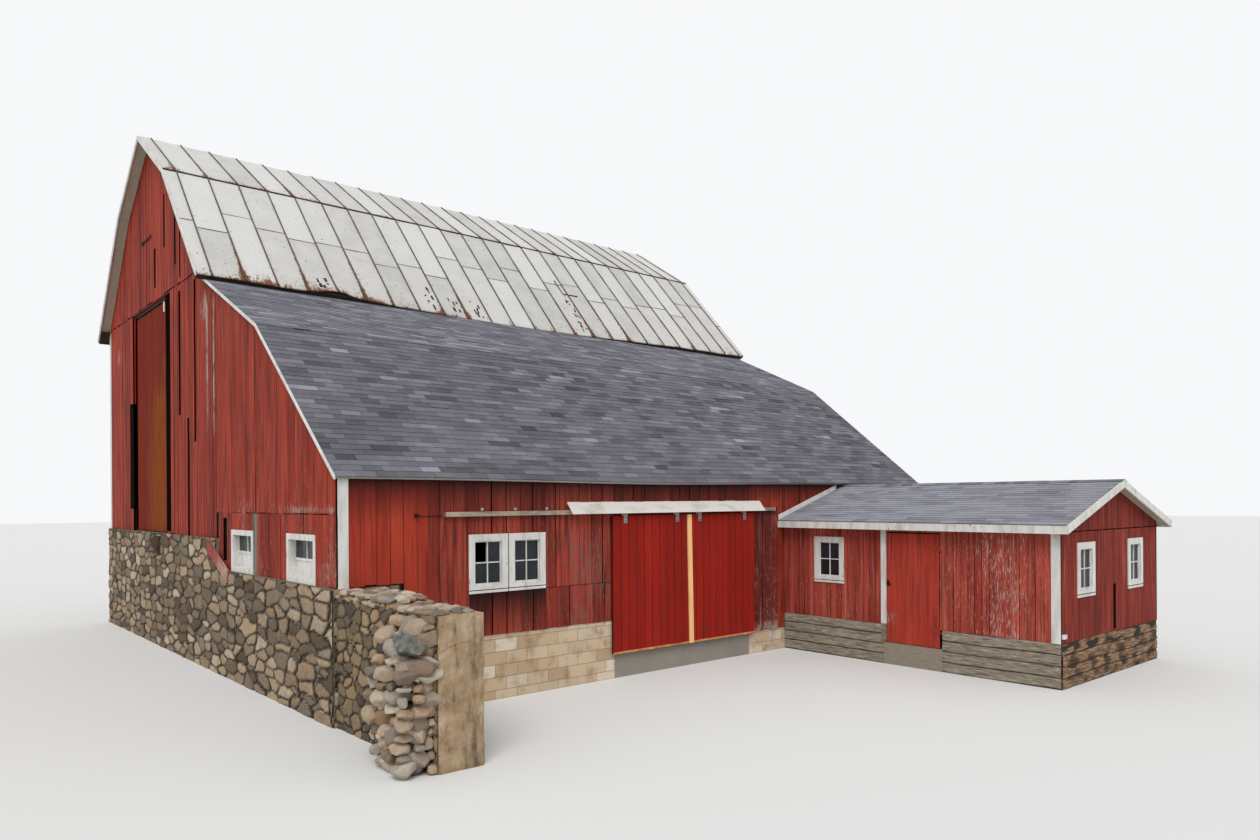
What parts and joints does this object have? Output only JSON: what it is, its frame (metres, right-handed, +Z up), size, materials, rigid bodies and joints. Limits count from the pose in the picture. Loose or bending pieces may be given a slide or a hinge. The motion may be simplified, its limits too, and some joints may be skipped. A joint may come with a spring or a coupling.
{
  "type": "gambrel bank barn",
  "caption": "Red boarded barn with a gambrel steel roof, a deep shingled lean-to with sliding doors, and a low gabled wing with a door, on stone foundations.",
  "frame": {"origin": "middle of the ground plan's box, at the lowest ground that the walls meet", "axes": "+X to the right along the long front, +Y from the front to the back, +Z up"},
  "size_m": [15.345, 20.68, 11.33],
  "materials": {
    "fieldstone": "rough fieldstone in lime mortar",
    "block": "weathered concrete block",
    "concrete": "worn concrete",
    "floor_boards": "dusty planks",
    "frame_timber": "old sawn timber",
    "red_boards": "worn red barn paint on vertical boards",
    "red_doors": "fresh bright red paint on grooved boards",
    "wagon_boards": "faded red boards with yellow stain",
    "shingles": "dark grey asphalt shingles",
    "roof_steel": "chalky off-white paint with rust at the seams",
    "white_trim": "white paint on trim boards",
    "glass": "old window glass",
    "track_steel": "olive grey paint",
    "galvanized": "galvanized steel",
    "iron": "rusty black iron",
    "hood_sheet": "white painted sheet",
    "raw_pine": "bare pine",
    "sill_timber": "weathered grey timber"
  },
  "bodies": {
    "barn": {"near_stone_foundation": "fieldstone", "back_stone_foundation": "fieldstone", "far_stone_foundation": "fieldstone", "retaining_wall": "fieldstone", "fallen_stones": "fieldstone", "block_foundation": "block", "ground_floor": "concrete", "wing_floor": "concrete", "loft_floor": "floor_boards", "barn_floor": "floor_boards", "inner_posts": "frame_timber", "inner_plate": "frame_timber", "inner_girders": "frame_timber", "purlin_beams": "frame_timber", "front_wall": "red_boards", "front_wall_over_doors": "red_boards", "lean_to_gable": "red_boards", "gable_wall": "red_boards", "gable_wall_top": "red_boards", "far_lean_to_gable": "red_boards", "far_gable": "red_boards", "back_wall": "red_boards", "slipped_board": "red_boards", "wing_side_wall": "red_boards", "wing_wall_over_door": "red_boards", "wing_end_wall": "red_boards", "wing_far_wall": "red_boards", "shingle_roof_lower": "shingles", "shingle_roof_upper": "shingles", "wing_roof_near": "shingles", "wing_roof_far": "shingles", "steel_roof_front_lower": "roof_steel", "steel_roof_front_upper": "roof_steel", "steel_roof_back_upper": "roof_steel", "steel_roof_back_lower": "roof_steel", "rake_boards": "white_trim", "corner_boards": "white_trim", "window_frames": "white_trim", "wing_fascias": "white_trim", "wing_flashing": "white_trim", "window_glass": "glass", "door_track": "track_steel", "door_hood": "hood_sheet", "wagon_track": "iron", "wing_hinge_pins": "iron", "wing_sills": "sill_timber", "wing_threshold": "sill_timber"},
    "left_sliding_door": {"left_door": "red_doors", "left_hangers": "galvanized", "pine_strip": "raw_pine"},
    "right_sliding_door": {"right_door": "red_doors", "right_hangers": "galvanized"},
    "wagon_door": {"wagon_door": "wagon_boards", "wagon_hangers": "iron"},
    "wing_door": {"wing_door": "red_boards", "wing_door_hinges": "iron"}
  },
  "joints": [
    {"name": "left_door_slide", "type": "slide", "parent": "barn", "child": "left_sliding_door", "axis": [-1, 0, 0], "range_m": [0, 3.2]},
    {"name": "right_door_slide", "type": "slide", "parent": "barn", "child": "right_sliding_door", "axis": [1, 0, 0], "range_m": [0, 0.7]},
    {"name": "wagon_door_slide", "type": "slide", "parent": "barn", "child": "wagon_door", "axis": [0, 1, 0], "range_m": [0, 2.3]},
    {"name": "wing_door_swing", "type": "hinge", "parent": "barn", "child": "wing_door", "pos_m": [2.265, -8.011, 1.4], "axis": [0, 0, 1], "range_deg": [0, 105]}
  ]
}
